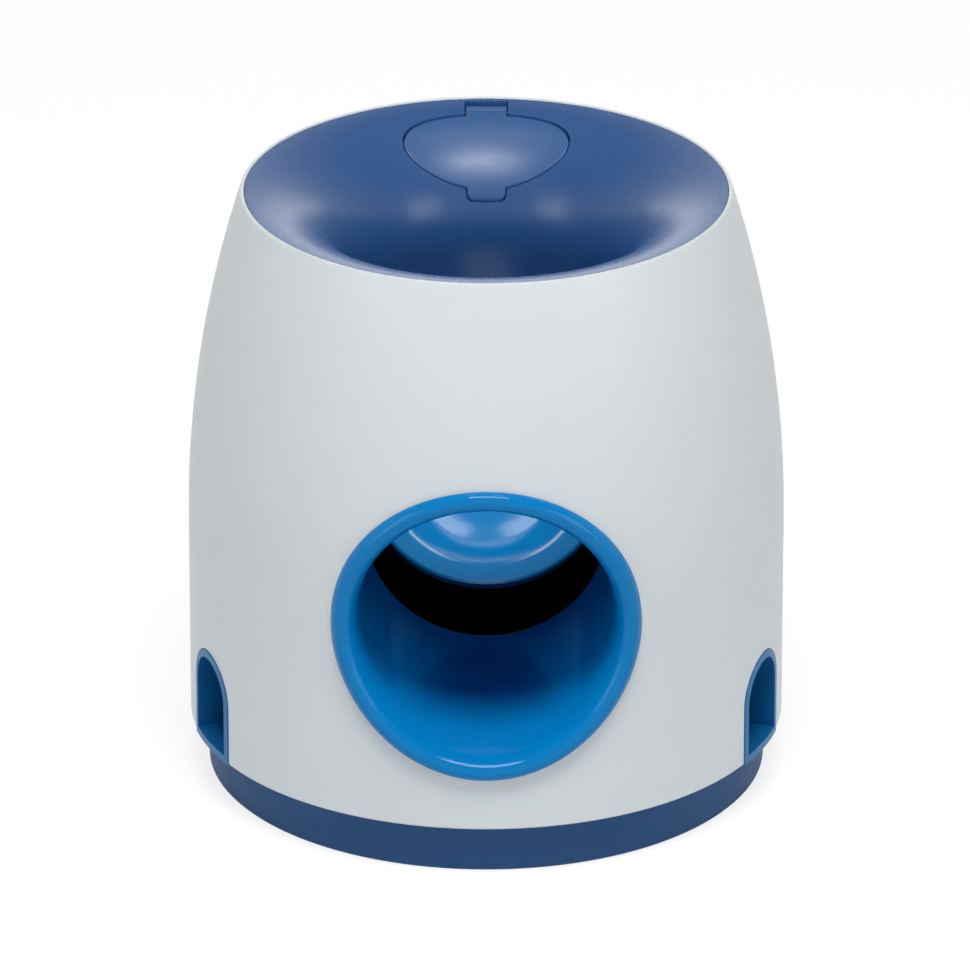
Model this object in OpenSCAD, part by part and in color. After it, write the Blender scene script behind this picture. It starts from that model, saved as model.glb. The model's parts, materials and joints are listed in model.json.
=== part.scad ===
// Ball and treat toy for dogs. A ball dropped into the funnel lands on a sprung dish. The dish opens
// a shutter under the treat hopper, the ball rolls out of the front tube, and treats slide down a
// horseshoe chute to an outlet on each side.
// Origin: centre of the base, on the surface it stands on. +Z is up and the ball tube faces -Y.

/* [Housing] */
// Largest diameter of the barrel
body_d = 173; // [168:0.5:180]
// Height of the rim above the surface
body_h = 178; // [174:0.5:184]
// Height up to which the barrel is straight
belly_h = 76; // [66:1:86]
// Diameter across the rim
rim_d = 141.2; // [138:0.2:144]
// Wall of the shell
shell_wall = 2.6; // [2.2:0.1:3]
// Thickness of the shell's lip round the funnel
lip_wall = 1; // [0.8:0.1:1.4]

/* [Base] */
// Height of the plinth ring below the shell
plinth_h = 15.4; // [14:0.2:18]
// How far the plinth ring stands in from the barrel
plinth_inset = 4.7; // [4.4:0.1:6]
// Draft of the plinth ring over its height
plinth_draft = 0.6; // [0.2:0.1:1]
// Wall of the plinth ring
ring_wall = 2.7; // [2:0.1:3.5]
// Thickness of the ring's sole
sole_t = 1.3; // [1:0.1:2]
// Width of the ring's sole
sole_w = 10; // [8:0.5:13]
// Wall of the base tray
tray_wall = 2.5; // [2:0.1:3]

/* [Funnel] */
// Bore of the throat
throat_d = 75; // [72:0.5:77]
// Slope of the funnel at its rim, in degrees
rim_slope = 5; // [3:0.5:8]
// Wall of the funnel
funnel_wall = 2.8; // [2.5:0.1:3.2]
// Height of the throat's lower end above the middle of the ball tube
throat_drop = 6.3; // [4:0.1:12]

/* [Filler flap] */
// Width of the flap
flap_w = 48.8; // [42:0.2:52]
// Length of the flap down the slope, without its thumb tab
flap_l = 25.2; // [23:0.2:27]
// Thickness of the flap
flap_t = 1.4; // [1.2:0.1:1.5]
// How far the flap lies below the funnel's surface
flap_sink = 0.3; // [0.1:0.1:0.4]
// Angle of the flap's chord to the horizontal, in degrees
flap_slope = 35.2; // [33:0.2:38]
// Distance from the hinge pin to the flap's upper edge, seen from above
flap_back = 3.5; // [3.2:0.1:4]
// Width of the hinge tab and of the thumb tab
tab_w = 12; // [9:0.5:15]
// Length of the thumb tab
tab_l = 2.9; // [2.5:0.1:4]
// Diameter of the flap's hinge pin
flap_pin_d = 2; // [1.6:0.1:2.4]

/* [Ball tube] */
// Bore of the ball tube at its rear edge
tube_d = 69.6; // [66:0.2:72]
// How much wider the bore is at the port than at its rear edge
tube_flare = 1.8; // [1:0.1:2.4]
// Wall of the ball tube
tube_wall = 2.4; // [2:0.1:3]
// Height of the tube's axis
tube_h = 75.7; // [72:0.1:79]
// Distance of the tube's rear edge in front of the barrel's axis
tube_back = 8.3; // [4:0.1:14]
// Outer diameter of the lip round the port
port_d = 88.6; // [86:0.2:92]
// How far the lip stands proud of the shell
port_proud = 2.5; // [1.5:0.1:3.5]

/* [Treat outlets] */
// Angle of each outlet from the front, in degrees
outlet_angle = 68; // [64:1:74]
// Width of an outlet's arch
outlet_w = 25.6; // [22:0.2:28]
// Height of an outlet's arch
outlet_h = 30.6; // [27:0.2:36]
// Wall of an outlet
outlet_wall = 2.2; // [1.8:0.1:2.6]

/* [Trigger] */
// Radius of the dish
dish_r = 34.5; // [33:0.1:36]
// Tilt of the dish at rest, in degrees
dish_tilt = 34; // [30:1:36]
// Distance of the dish's front edge behind the barrel's axis
dish_front = 5; // [2:0.5:7]
// Height of the dish's front edge
dish_low = 51.1; // [48:0.1:54]
// Depth of the bowl
bowl_depth = 4; // [3:0.1:6]
// Thickness of the dish
dish_t = 2.2; // [1.8:0.1:2.6]
// Distance from the dish's centre back to the shaft
pivot_back = 20; // [18:0.5:22]
// Diameter of the shaft
shaft_d = 5; // [4:0.1:5.4]
// Swing of the dish, in degrees
swing = 20; // [18:1:22]
// Wire of the return spring
spring_wire = 0.9; // [0.7:0.05:1]
// Turns of the return spring
spring_turns = 4; // [3:1:4]

/* [Hopper and chute] */
// Wall of the hopper
hopper_wall = 1.8; // [1.5:0.1:2.2]
// Radius of the shutter about the shaft
shutter_r = 33; // [31:0.5:35]
// Thickness of the shutter
shutter_t = 2; // [1.6:0.1:2.4]
// Direction of the hopper's slot seen from the shaft, in degrees above the horizontal
slot_angle = 58.5; // [56:0.5:61]
// Width of the hopper's slot
slot_w = 9.6; // [8:0.2:10]
// Length of the hopper's slot
slot_l = 40; // [30:1:42]
// Height of the chute's ridge at the back
ridge_h = 56; // [50:0.5:60]
// Height of the chute's walls
chute_rail = 12; // [9:0.5:13]
// Wall of the chute
chute_wall = 2; // [1.6:0.1:2.4]
// Diameter of the housing screws
screw_d = 3; // [2.6:0.1:3.2]

/* [Hidden] */
$fn = 120;

// Clearances: between seated pieces, between faces that touch, between pieces that move, and in bores
fit = 0.2;
seat = 0.1;
play = 0.4;
bore_play = 0.05;
over = 1;

// Broken edges
chamfer = 0.6;

// Barrel: straight up to the belly, then one arc that meets the rim
body_r = body_d / 2;
rim_r = rim_d / 2;
arc_r = (pow(body_h - belly_h, 2) + pow(body_r - rim_r, 2)) / (2 * (body_r - rim_r));
arc_x = body_r - arc_r;
inner_r = body_r - shell_wall;
lip_r = rim_r - lip_wall;
lip_half = lip_wall / 2;
lip_arc = 1.1 * lip_half;

// Ledge inside the shell that the funnel's skirt stands on
ledge_t = 2.6;
ledge_w = 3.6;
seat_z = body_h - 6;
ledge_z = seat_z - ledge_t;

// Funnel: a quarter of a torus from the rim to the throat
throat_r = throat_d / 2;
throat_out = throat_r + funnel_wall;
funnel_rim_r = lip_r - fit;
funnel_rim_z = body_h - 0.4;
bell_r = (funnel_rim_r - throat_r) / (1 - sin(rim_slope));
bell_x = throat_r + bell_r;
bell_z = funnel_rim_z - bell_r * cos(rim_slope);
throat_end = tube_h + throat_drop;
skirt_t = 2.2;

// Flap hinge, just inside the rim at the back
knuckle_r = 2.2;
notch_half = tab_w / 2 + play;
rim_strip = 1.2;
hinge_y = sqrt(pow(funnel_rim_r, 2) - pow(notch_half, 2)) - rim_strip - play - knuckle_r;
hinge_z = bell_top(hinge_y) - flap_sink - knuckle_r;
cheek_w = 5.4;
pin_half = tab_w / 2 + cheek_w - 0.6;
flap_ledge = 2.6;
tab_root = 1.2;

// Flap's widest line, measured down the slope from the hinge and seen from above
flap_mid = flap_l / 2 + 0.68 * flap_back;
flap_mid_y = hinge_y - 1.12 * flap_mid;
flap_top_y = hinge_y - flap_back;

// Ball tube and the port's lip
tube_r = tube_d / 2;
mouth_r = tube_r + tube_flare;
port_r = port_d / 2;
bead_w = 7.2;
bead_foot = 0.15;
bead_dip = 1;
tube_saddle = 2;
neck_l = 5;
neck_inset = 0.6;

// Base
ring_top_r = body_r - plinth_inset;
tray_r = ring_top_r - plinth_draft - ring_wall;
tray_z = sole_t + fit;
floor_z = tray_z + tray_wall;
flange_z = plinth_h + fit;
flange_t = 2;
shell_seat_z = flange_z + flange_t + fit;

// Saddles on the tray under the ball tube
saddle_at = [15, 49];
saddle_half = 20;
saddle_t = 3;

// Screws that hold the shell on the tray
screw_r = screw_d / 2;
head_r = screw_r * 2;
head_t = 2;
base_screw_angles = [42, -42, 150, -150];
boss_at = ring_top_r - sole_w - head_r - 1;
boss_r = screw_r + 2.5;
boss_h = 14;
head_z = flange_z - 3;

// Trigger: shaft position follows from the dish
pivot_y = dish_front + (dish_r + pivot_back) * cos(dish_tilt);
pivot_z = dish_low + (dish_r + pivot_back) * sin(dish_tilt);
shaft_r = shaft_d / 2;
hub_r = shaft_r + 2.7;
pad_r = hub_r + 1.3;
rim_w = 4;
rim_step = 1;
bowl_r = dish_r - rim_w;
bowl_ball = (pow(bowl_r, 2) + pow(bowl_depth, 2)) / (2 * bowl_depth);
bowl_mid = bowl_ball - bowl_depth - rim_step;

// Hopper, brackets and bearings, outwards from the dish
hopper_half = dish_r - 0.5;
bracket_x = hopper_half + 0.3;
bracket_t = 3;
bush_r = shaft_r + 1.5;
flange_r = bush_r + 1.8;
bush_flange = 1;
hub_right = bracket_x - bush_flange - play;
spring_pitch = spring_wire * 1.5;
spring_r = shaft_r + 0.6 + spring_wire / 2;
spring_l = spring_turns * spring_pitch + spring_wire;
rim_t = spring_r - spring_wire / 2 - seat;
dish_back = pivot_back - spring_r - spring_wire / 2 - play;
hub_left = bracket_x - bush_flange - spring_l - 2 * play;
web_half = hub_left - 3;
clip_t = 0.8;
groove_r = shaft_r - 0.4;
clip_x = bracket_x + bracket_t + play;
shaft_half = clip_x + clip_t + 1.6;

shutter_half = slot_l / 2 + 4;
shutter_lap = 1.5;
dome_r = shutter_r + 0.5;
foot_t = 2.2;
arm_t = 2.4;
arm_w = 8;
stop_at = 14;
stop_r = 2;
peg_r = 1.5;

hopper_in = throat_out + 0.5;
hopper_gap = 1;
hopper_low = pivot_z + 22;
ramp_slope = 36;
ear_z = bell_z + 3;
ear_t = 2.6;
ear_x = hopper_half + 5;
ear_y = pivot_y - 6;
bracket_rise = dome_r + 11;
bracket_foot = 10;
bracket_screw_z = pivot_z + bracket_rise - 7;
bracket_screw_y = [pivot_y - 6, pivot_y + 6];

// Chute: a horseshoe ramp round the trigger
chute_in = pivot_y + 5.8;
chute_out = inner_r - 2.6;
chute_end = outlet_z() + outlet_wall + 1.4;
chute_lip = 4;
chute_reach = 106;
ridge_soft = 12;
outlet_in = chute_in + chute_wall;
outlet_flange = 2.4;

function outlet_z() = plinth_h + fit;
function barrel_r(z) = z <= belly_h ? body_r : arc_x + sqrt(pow(arc_r, 2) - pow(z - belly_h, 2));
function bell_top(r) = bell_z + sqrt(pow(bell_r, 2) - pow(bell_x - r, 2));

// Triangles between neighbouring rings of a swept section, where each ring has the same point count
function ring_faces(rings, points, closed) = [
    for (i = [0:rings - (closed ? 1 : 2)], j = [0:points - 1], half = [0, 1])
        let (a = i * points, b = ((i + 1) % rings) * points, k = (j + 1) % points)
        half == 0 ? [a + j, b + j, b + k] : [a + j, b + k, a + k]
];

// Triangles that close an open sweep's end with a fan
function end_fan(first, points, turned) = [
    for (j = [1:points - 2]) turned ? [first, first + j + 1, first + j] : [first, first + j, first + j + 1]
];

// Half profile of the barrel's inside at a given inset, between two heights
module barrel_2d(inset, low, high) {
    if (low < belly_h)
        translate([0, low]) square([body_r - inset, min(high, belly_h) - low]);
    intersection() {
        translate([arc_x, belly_h]) circle(arc_r - inset);
        translate([0, max(low, belly_h - over)])
            square([body_r, high - max(low, belly_h - over)]);
    }
}

// Disc of the funnel's torus at a given inset from its visible surface
module bell_disc(inset) {
    translate([bell_x, bell_z]) circle(bell_r - inset);
}

module at_angle(angle) {
    rotate([0, 0, angle - 90]) children();
}

// Cone of the ball tube's bore from the axis to the front, grown by a wall or a clearance
module tube_cone(grow) {
    rate = tube_flare / (body_r - tube_back);
    translate([0, 0, tube_h]) rotate([90, 0, 0])
        cylinder(r1 = tube_r + grow - rate * tube_back, r2 = tube_r + grow + rate * (body_d - tube_back),
            h = body_d);
}

module across(r, half) {
    rotate([0, 90, 0]) cylinder(r = r, h = 2 * half, center = true);
}

module at_pivot(angle = 0) {
    translate([0, pivot_y, pivot_z]) rotate([angle, 0, 0]) children();
}

// Arch of an outlet, drawn along the local Z direction
module arch_2d(w, h) {
    translate([-w / 2, 0]) square([w, h - w / 2]);
    translate([0, h - w / 2]) circle(w / 2);
}

module outlet_arch(grow, near, far, drop = 0) {
    low = max(grow, drop);
    at_angle(outlet_angle)
        translate([near, 0, outlet_z() - low])
            rotate([90, 0, 90])
                linear_extrude(far - near)
                    arch_2d(outlet_w + 2 * grow, outlet_h + grow + low);
}

// Prism of the flap's outline. The lower half and the thumb tab are square to the flap's chord and
// the upper half is upright, so that every edge leaves the recess as the flap swings
module flap_prism(inset, tab) {
    a = flap_w / 2 - inset;
    b = flap_l / 2 - inset;
    tip = flap_mid + flap_l / 2 + tab_l - inset;
    half = tab_w / 2 - inset;
    corner = 2;
    step = 7.5;
    intersection() {
        translate([0, hinge_y, hinge_z]) rotate([flap_slope, 0, 0])
            translate([0, 0, -flap_l / 2]) linear_extrude(1.2 * flap_l) {
                polygon(concat(
                    [for (t = [180:step:360]) [a * cos(t), b * sin(t) - flap_mid]],
                    [[a, flap_l], [-a, flap_l]]
                ));
                if (tab) {
                    translate([-half, corner - tip]) square([2 * half, tip - corner - flap_mid]);
                    translate([corner - half, -tip]) square([2 * (half - corner), corner]);
                    for (s = [-1, 1]) translate([s * (half - corner), corner - tip]) circle(corner);
                }
            }
        translate([0, flap_mid_y, 0]) linear_extrude(2 * body_h) polygon(concat(
            [for (t = [0:step:180]) [(a + 0.1) * cos(t), (flap_top_y - flap_mid_y - inset) * sin(t)]],
            [[-body_r, 0], [-body_r, -body_r], [body_r, -body_r], [body_r, 0]]
        ));
    }
}

module screw(r, length, head, head_h) {
    cylinder(r = r, h = length);
    translate([0, 0, -head_h]) cylinder(r = head, h = head_h);
}

module outer_shell() color("#dfe5e8") {
    difference() {
        union() {
            rotate_extrude() difference() {
                barrel_2d(0, plinth_h, body_h);
                barrel_2d(shell_wall, plinth_h - over, ledge_z);
                translate([0, ledge_z - over]) square([lip_r - ledge_w, ledge_t + 2 * over]);
                translate([0, seat_z]) square([lip_r, body_h]);
                translate([0, body_h - lip_arc]) difference() {
                    square([body_r, lip_arc + over]);
                    translate([lip_r + lip_half, 0]) circle(lip_arc);
                }
                translate([body_r, plinth_h]) rotate(45) square(chamfer * sqrt(2), center = true);
            }
            for (a = base_screw_angles) at_angle(a) {
                translate([boss_at, 0, shell_seat_z]) cylinder(r = boss_r, h = boss_h);
                translate([boss_at, -1.2, shell_seat_z])
                    cube([inner_r - boss_at + shell_wall / 2, 2.4, boss_h]);
            }
        }
        tube_cone(tube_wall + fit);
        outlet_arch(fit, inner_r - 8, body_r + over, over);
        mirror([1, 0, 0]) outlet_arch(fit, inner_r - 8, body_r + over, over);
        for (a = base_screw_angles) at_angle(a)
            translate([boss_at, 0, shell_seat_z - over])
                cylinder(r = screw_r + bore_play, h = boss_h - 2 + over);
    }
}

module funnel() color("#4a6a9c") {
    notch_y = flap_top_y - tab_root - 2 * play;
    difference() {
        union() {
            rotate_extrude() {
                intersection() {
                    difference() {
                        bell_disc(0);
                        bell_disc(funnel_wall);
                    }
                    translate([0, bell_z - 0.5]) square([funnel_rim_r, bell_r + over]);
                }
                translate([throat_r, throat_end]) square([funnel_wall, bell_z - throat_end]);
                translate([funnel_rim_r - skirt_t, seat_z + fit])
                    square([skirt_t, bell_top(funnel_rim_r) - seat_z - fit - 0.6]);
            }
            intersection() {
                for (s = [-1, 1])
                    translate([s * (notch_half + cheek_w / 2), hinge_y, hinge_z])
                        cube([cheek_w, 2 * (knuckle_r + fit), 2 * (knuckle_r + fit)], center = true);
                rotate_extrude() intersection() {
                    bell_disc(0.8);
                    square([funnel_rim_r, body_h]);
                }
            }
            intersection() {
                for (s = [-1, 1])
                    translate([s * ear_x, ear_y, ear_z + ear_t + fit])
                        cylinder(r = boss_r, h = bell_r);
                rotate_extrude() bell_disc(1);
            }
        }
        tube_cone(tube_wall + play);
        intersection() {
            flap_prism(0, true);
            rotate_extrude() difference() {
                bell_disc(-over);
                bell_disc(flap_sink + flap_t + fit);
            }
        }
        flap_prism(flap_ledge, false);
        translate([-notch_half, notch_y, hinge_z - knuckle_r - 0.5])
            cube([2 * notch_half, hinge_y + knuckle_r + play - notch_y, 20]);
        translate([0, hinge_y, hinge_z]) across(flap_pin_d / 2 + 0.02, pin_half + 0.2);
        for (s = [-1, 1])
            translate([s * ear_x, ear_y, ear_z])
                cylinder(r = screw_r + bore_play, h = ear_t + 12);
    }
}

module filler_flap() color("#5c7cab") {
    tab_half = tab_w / 2;
    difference() {
        union() {
            intersection() {
                flap_prism(play, true);
                rotate_extrude() difference() {
                    bell_disc(flap_sink);
                    bell_disc(flap_sink + flap_t);
                }
            }
            intersection() {
                translate([-tab_half, flap_top_y - tab_root, hinge_z - knuckle_r])
                    cube([tab_w, flap_back + tab_root, 12]);
                rotate_extrude() difference() {
                    bell_disc(flap_sink);
                    bell_disc(flap_sink + knuckle_r);
                }
            }
            translate([0, hinge_y, hinge_z]) across(knuckle_r, tab_half);
        }
        translate([0, hinge_y, hinge_z]) across(flap_pin_d / 2 + bore_play, tab_half + over);
    }
}

module flap_hinge_pin() color("#c8c8c8")
    translate([0, hinge_y, hinge_z]) across(flap_pin_d / 2, pin_half);

// Section of the port's lip as [distance from the port's axis, height above the barrel]: a bead on
// the shell that rolls into the bore, on a neck in the shell's hole
lip_mid = port_r - bead_w / 2;
lip_step = 15;
neck_in = mouth_r + neck_inset;
neck_out = mouth_r + tube_wall - neck_inset;
lip_section = concat(
    [[neck_out, bead_foot], [neck_out, -neck_l], [neck_in, -neck_l]],
    [for (t = [180:-lip_step:90])
        [lip_mid + (lip_mid - neck_in) * cos(t), -bead_dip + (bead_dip + bead_foot + port_proud) * sin(t)]],
    [for (t = [90 - lip_step:-lip_step:0])
        [lip_mid + bead_w / 2 * cos(t), bead_foot + port_proud * sin(t)]]
);
lip_rings = 72;

// Point of the lip at a turn round the port: it follows the barrel at the given height above it
function on_barrel(p, turn) =
    let (x = p[0] * cos(turn), z = tube_h + p[0] * sin(turn))
    [x, -sqrt(pow(barrel_r(z) + p[1], 2) - x * x), z];

module ball_tube() color("#1f7fc4") {
    polyhedron(
        [for (i = [0:lip_rings - 1], p = lip_section) on_barrel(p, i * 360 / lip_rings)],
        ring_faces(lip_rings, len(lip_section), true)
    );
    difference() {
        intersection() {
            difference() {
                tube_cone(tube_wall);
                tube_cone(0);
            }
            rotate_extrude() barrel_2d(tube_saddle, 0, body_h);
            translate([-body_r, -body_d, 0]) cube([body_d, body_d - tube_back, body_h]);
        }
        translate([0, 0, tube_h]) cylinder(r = throat_out + play, h = body_h);
    }
}

// Outlet on the right: an arched sleeve, a flange behind the shell, and a pocket that the chute
// feeds through its open side
module right_treat_outlet() color("#1f6fb0") {
    inner_w = outlet_w - 2 * outlet_wall;
    difference() {
        intersection() {
            union() {
                outlet_arch(0, outlet_in + play, body_r + over);
                intersection() {
                    outlet_arch(outlet_flange, inner_r - 3, inner_r + over);
                    cylinder(r = inner_r - fit, h = body_h);
                    translate([0, 0, outlet_z() + over]) cylinder(r = body_r, h = body_h);
                }
            }
            cylinder(r = body_r + 0.3, h = body_h);
        }
        at_angle(outlet_angle)
            translate([outlet_in + play + outlet_wall, 0, outlet_z() + outlet_wall])
                rotate([90, 0, 90]) linear_extrude(body_r)
                    arch_2d(inner_w, outlet_h - 2 * outlet_wall);
        at_angle(outlet_angle)
            translate([outlet_in + play + outlet_wall, 0, outlet_z() + outlet_wall])
                cube([chute_out - outlet_in - outlet_wall - play - 3, outlet_w, outlet_h - 8]);
    }
}

module left_treat_outlet() {
    mirror([1, 0, 0]) right_treat_outlet();
}

module base_ring() color("#2c4870") {
    difference() {
        rotate_extrude() polygon([[0, 0], [ring_top_r - plinth_draft - chamfer, 0],
            [ring_top_r - plinth_draft, chamfer], [ring_top_r, plinth_h - chamfer],
            [ring_top_r - chamfer, plinth_h], [0, plinth_h]]);
        translate([0, 0, sole_t]) cylinder(r = tray_r + fit, h = plinth_h);
        translate([0, 0, -over]) cylinder(r = ring_top_r - sole_w, h = plinth_h);
    }
}

module base_tray() color("#26282b") {
    difference() {
        union() {
            translate([0, 0, tray_z]) cylinder(r = tray_r, h = tray_wall);
            translate([0, 0, tray_z]) difference() {
                cylinder(r = tray_r, h = flange_z + flange_t - tray_z);
                cylinder(r = tray_r - tray_wall, h = plinth_h + body_h, center = true);
            }
            translate([0, 0, flange_z]) difference() {
                cylinder(r = inner_r - fit, h = flange_t);
                cylinder(r = tray_r - tray_wall, h = plinth_h, center = true);
            }
            for (a = base_screw_angles) at_angle(a)
                translate([boss_at, 0, tray_z])
                    cylinder(r = head_r + 2, h = flange_z + flange_t - tray_z);
            intersection() {
                translate([0, 0, floor_z - over]) difference() {
                    cylinder(r = chute_in - fit, h = over + 5);
                    cylinder(r = chute_in - fit - 2.2, h = plinth_h, center = true);
                }
                translate([-body_r, 10, 0]) cube([body_d, body_r, plinth_h]);
            }
            difference() {
                for (y = saddle_at)
                    translate([-saddle_half, -tube_back - y, floor_z - over])
                        cube([2 * saddle_half, saddle_t, tube_h - tube_r]);
                tube_cone(tube_wall + seat);
            }
        }
        outlet_arch(outlet_flange + fit, outlet_in - over, body_r + over);
        mirror([1, 0, 0]) outlet_arch(outlet_flange + fit, outlet_in - over, body_r + over);
        for (a = base_screw_angles) at_angle(a) translate([boss_at, 0, 0]) {
            cylinder(r = head_r + fit, h = head_z);
            cylinder(r = screw_r + fit, h = body_h);
        }
    }
}

module base_screws() color("#b8bcc0") {
    for (a = base_screw_angles) at_angle(a)
        translate([boss_at, 0, head_z - seat])
            screw(screw_r, boss_h + 2, head_r, head_t);
}

// Space of the hopper between the throat and the barrel, under the funnel, inset on all sides
module hopper_space(inset, top) {
    intersection() {
        rotate_extrude() intersection() {
            difference() {
                barrel_2d(shell_wall + hopper_gap + inset, hopper_low, ledge_z - play);
                square([hopper_in + inset, body_h]);
            }
            union() {
                bell_disc(top ? funnel_wall + 0.3 : 0);
                square([body_r, bell_z]);
            }
        }
        translate([-hopper_half + inset, 0, 0]) cube([2 * (hopper_half - inset), body_r, body_h]);
    }
}

module treat_hopper() color("#3f6ea5") {
    ramp_y = dome_r + hopper_wall;
    difference() {
        union() {
            difference() {
                hopper_space(0, true);
                translate([0, 0, -over]) hopper_space(hopper_wall, false);
                translate([0, 0, over]) hopper_space(hopper_wall, false);
            }
            intersection() {
                hopper_space(0, true);
                union() {
                    at_pivot() across(dome_r + hopper_wall, body_r);
                    at_pivot(slot_angle) translate([0, ramp_y, slot_w / 2]) rotate([-slot_angle, 0, 0])
                        rotate([-ramp_slope, 0, 0])
                            translate([-body_r, -body_r, -hopper_wall]) cube([body_d, body_r, hopper_wall]);
                }
            }
            for (s = [-1, 1]) {
                translate([s * ear_x - 5, ear_y - 6, ear_z]) cube([10, 12, ear_t]);
                for (y = bracket_screw_y)
                    translate([s * (hopper_half - 3), y, bracket_screw_z])
                        across(screw_r + 2, 3);
            }
        }
        at_pivot() across(dome_r, body_r);
        at_pivot(slot_angle) translate([-slot_l / 2, 0, -slot_w / 2])
            cube([slot_l, dome_r + 12, slot_w]);
        for (s = [-1, 1]) translate([s * ear_x, ear_y, ear_z - over])
            cylinder(r = screw_r + fit, h = ear_t + 2 * over);
        for (s = [-1, 1], y = bracket_screw_y)
            translate([s * hopper_half, y, bracket_screw_z]) across(screw_r + bore_play, 5);
    }
}

module hopper_screws() color("#b8bcc0") {
    for (s = [-1, 1]) translate([s * ear_x, ear_y, ear_z - seat])
        screw(screw_r, ear_t + 10, head_r, head_t);
}

// Height of the chute's floor at an angle from the back: a rounded ridge that falls to both ends
function chute_z(angle) =
    let (span = sqrt(pow(chute_reach, 2) + pow(ridge_soft, 2)) - ridge_soft)
    ridge_h - (ridge_h - chute_end)
        * (sqrt(pow(angle, 2) + pow(ridge_soft, 2)) - ridge_soft) / span;

function chute_section(z) = [
    [chute_in, floor_z + seat], [chute_in + chute_wall, floor_z + seat],
    [chute_in + chute_wall, z - chute_wall], [chute_out, z - chute_wall],
    [chute_out, z + chute_lip], [chute_out - chute_wall, z + chute_lip],
    [chute_out - chute_wall, z], [chute_in + chute_wall, z],
    [chute_in + chute_wall, z + chute_rail], [chute_in, z + chute_rail]
];

module treat_chute() color("#1d1f22") {
    step = 4;
    angles = [for (a = [-chute_reach:step:chute_reach]) a];
    count = len(angles);
    points = 10;
    difference() {
        polyhedron(
            [for (a = angles, p = chute_section(chute_z(a))) [p[0] * sin(a), p[0] * cos(a), p[1]]],
            concat(ring_faces(count, points, false),
                section_cap(0, false), section_cap((count - 1) * points, true))
        );
        for (s = [0, 1]) mirror([s, 0, 0]) at_angle(outlet_angle)
            translate([0, -outlet_w, floor_z]) cube([body_d, 1.5 * outlet_w + fit, body_h]);
    }
}

// Triangles of the chute's end, split into its three straight walls
function section_cap(first, turned) = [
    for (f = [[0, 1, 2], [0, 2, 7], [0, 7, 9], [9, 7, 8], [2, 3, 6], [2, 6, 7], [3, 4, 5], [3, 5, 6]])
        turned ? [first + f[0], first + f[2], first + f[1]] : [for (i = f) first + i]
];

// Plate of a bearing bracket in the YZ plane, on the right, with its bush hole
module bracket_plate() {
    difference() {
        translate([bracket_x, pivot_y, pivot_z]) rotate([90, 0, 90]) linear_extrude(bracket_t)
            difference() {
                union() {
                    circle(bush_r + 4);
                    polygon([[-bush_r - 4, 0], [bush_r + 4, 0], [stop_at + 0.5, stop_at * 0.4],
                        [stop_at + 0.5, stop_at], [bracket_foot, dome_r], [bracket_foot, bracket_rise],
                        [-bracket_foot, bracket_rise], [-bracket_foot, dome_r]]);
                }
                circle(bush_r + bore_play);
            }
        for (y = bracket_screw_y)
            translate([bracket_x, y, bracket_screw_z]) across(screw_r + fit, bracket_t + over);
    }
}

module right_bearing_bracket() color("#26282b") {
    half = asin((arm_w / 2 + stop_r + play) / stop_at);
    bracket_plate();
    for (turn = [slot_angle - half, slot_angle + swing + half])
        at_pivot(turn) translate([shutter_half - arm_t, stop_at, 0])
            rotate([0, 90, 0]) cylinder(r = stop_r, h = bracket_x + over - shutter_half + arm_t);
}

module left_bearing_bracket() color("#26282b") {
    mirror([1, 0, 0]) bracket_plate();
    at_pivot(dish_tilt) translate([-bracket_x - over, spring_leg - 2, peg_r + seat + spring_wire / 2 - spring_r])
        rotate([0, 90, 0]) cylinder(r = peg_r, h = bush_flange + spring_wire + 2 + over);
}

module bracket_screws() color("#b8bcc0") {
    for (s = [-1, 1], y = bracket_screw_y)
        translate([s * (bracket_x + bracket_t + seat), y, bracket_screw_z])
            rotate([0, -s * 90, 0]) screw(screw_r, bracket_t + 5, head_r, head_t);
}

module shaft_bushes() color("#e8e4d8") {
    for (s = [0, 1]) mirror([s, 0, 0]) at_pivot() rotate([0, 90, 0]) difference() {
        union() {
            translate([0, 0, bracket_x - seat]) cylinder(r = bush_r, h = bracket_t + seat);
            translate([0, 0, bracket_x - seat - bush_flange]) cylinder(r = flange_r, h = bush_flange);
        }
        cylinder(r = shaft_r + bore_play, h = body_r);
    }
}

// Return spring: a coil round the shaft with one straight leg under the dish's rim and one under
// the left bracket's peg
spring_leg = 12;
spring_sides = 6;
spring_rings = 8;
spring_from = -bracket_x + bush_flange + play + spring_wire / 2;
spring_to = spring_from + spring_pitch * spring_turns;
spring_path = concat(
    [[spring_from, spring_leg, -spring_r]],
    [for (i = [0:spring_turns * spring_rings])
        let (t = 270 - i * 360 / spring_rings)
        [spring_from + spring_pitch * i / spring_rings, spring_r * cos(t), spring_r * sin(t)]],
    [[spring_to, -spring_leg,
        bowl_under(norm([spring_to, pivot_back - spring_leg])) - spring_wire / 2 - 2 * fit]]
);

// Underside of the bowl at a distance from the dish's centre
function bowl_under(r) = bowl_mid - sqrt(pow(bowl_ball + dish_t, 2) - r * r);

// Ring of a tube round a point of a path, square to the path's direction there
function tube_ring(path, i, r) =
    let (a = path[max(i - 1, 0)], b = path[min(i + 1, len(path) - 1)], d = (b - a) / norm(b - a),
        u = cross(d, [1, 0, 0]) / norm(cross(d, [1, 0, 0])), v = cross(d, u))
    [for (k = [0:spring_sides - 1])
        let (t = k * 360 / spring_sides) path[i] + r * (cos(t) * u + sin(t) * v)];

function spring_gap() = min([for (i = [0:len(spring_path) - 1], j = [i + 5:1:len(spring_path) - 1])
    norm(spring_path[i] - spring_path[j])]) - spring_wire;

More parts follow.
